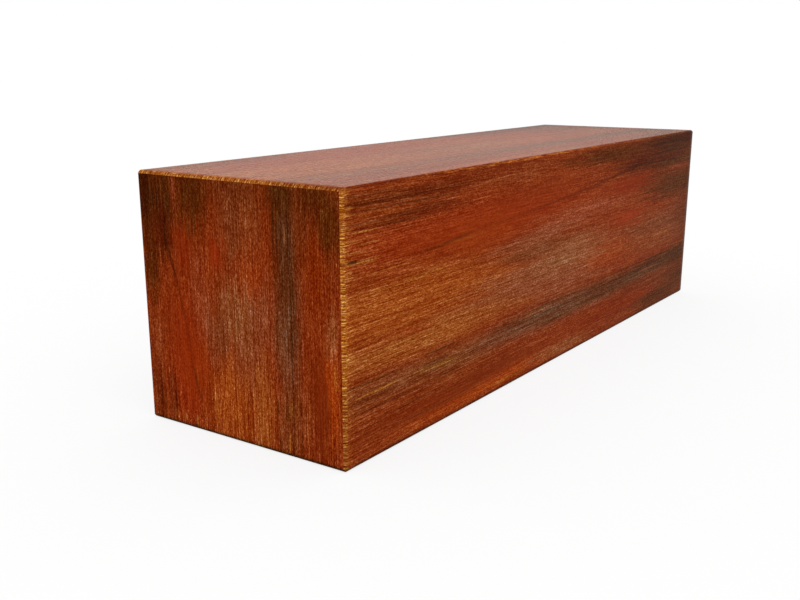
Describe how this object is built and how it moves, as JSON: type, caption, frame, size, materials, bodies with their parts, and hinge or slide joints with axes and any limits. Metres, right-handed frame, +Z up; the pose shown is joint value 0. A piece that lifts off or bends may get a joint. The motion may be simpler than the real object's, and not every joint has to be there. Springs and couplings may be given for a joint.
{
  "type": "hardwood post",
  "caption": "Square solid hardwood post, planed and with eased arrises, lying on one long face; carries railings, beams or caps when stood on end.",
  "frame": {"origin": "centre of the long face that the post lies on", "axes": "+X along the length and the grain, from the end that the picture shows to the hidden end; +Z up; -Y is the long face that the picture shows"},
  "size_m": [0.3048, 0.0888, 0.0889],
  "materials": {
    "hardwood": "satin"
  },
  "bodies": {
    "root": {"post": "hardwood"}
  },
  "joints": []
}
